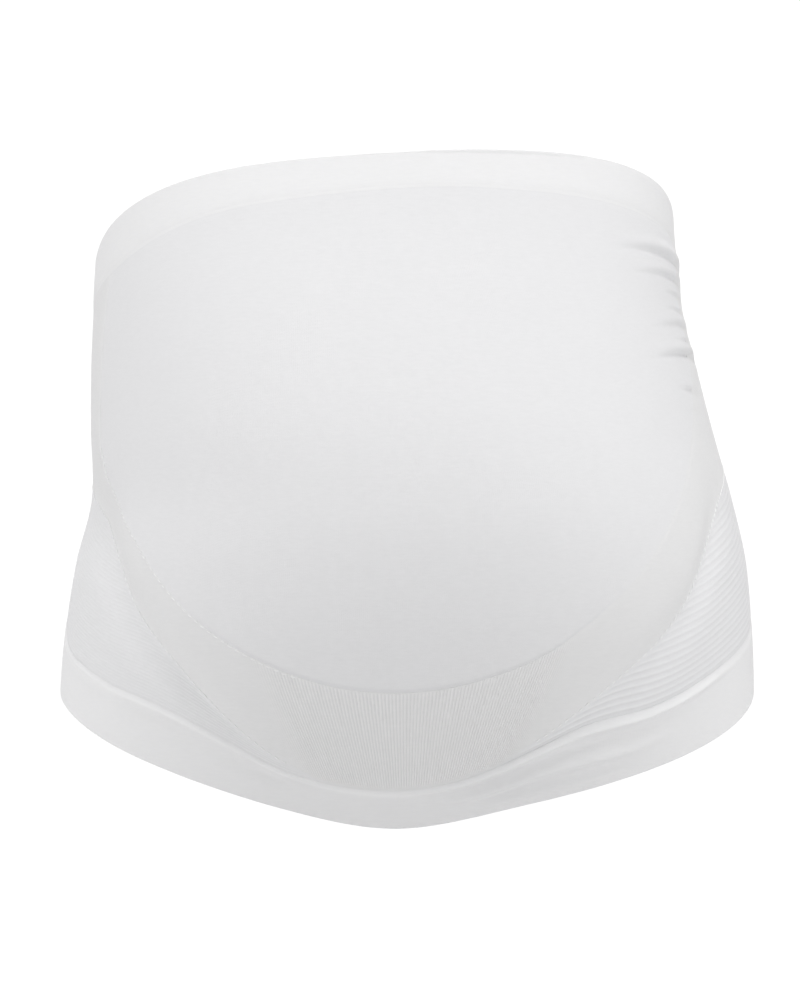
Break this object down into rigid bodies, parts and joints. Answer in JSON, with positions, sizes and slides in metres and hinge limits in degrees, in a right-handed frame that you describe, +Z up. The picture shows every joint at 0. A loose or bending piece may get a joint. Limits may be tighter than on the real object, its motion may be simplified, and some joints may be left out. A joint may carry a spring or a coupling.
{
  "type": "maternity support belt",
  "caption": "Seamless knitted maternity belly band with a fine jersey belly panel, a ribbed sling below the belly, ribbed hip panels and turned hems.",
  "frame": {"origin": "on the wearer's body axis, level with the fullest part of the belly, where the mount worn_on_body is", "axes": "+Z up along the body, the belly faces -Y, +X towards the wearer's left"},
  "size_m": [0.377, 0.3428, 0.3506],
  "materials": {
    "jersey": "fine white jersey knit, matt",
    "rib_knit": "white vertical rib knit, matt",
    "hip_rib": "white horizontal rib knit, matt",
    "welt": "white turned double welt, smooth and matt"
  },
  "bodies": {
    "root": {"top_hem": "welt", "belly_panel": "jersey", "support_panel": "rib_knit", "hip_panel_right": "hip_rib", "hip_panel_left": "hip_rib", "back_panel": "jersey", "bottom_hem": "welt"}
  },
  "joints": []
}
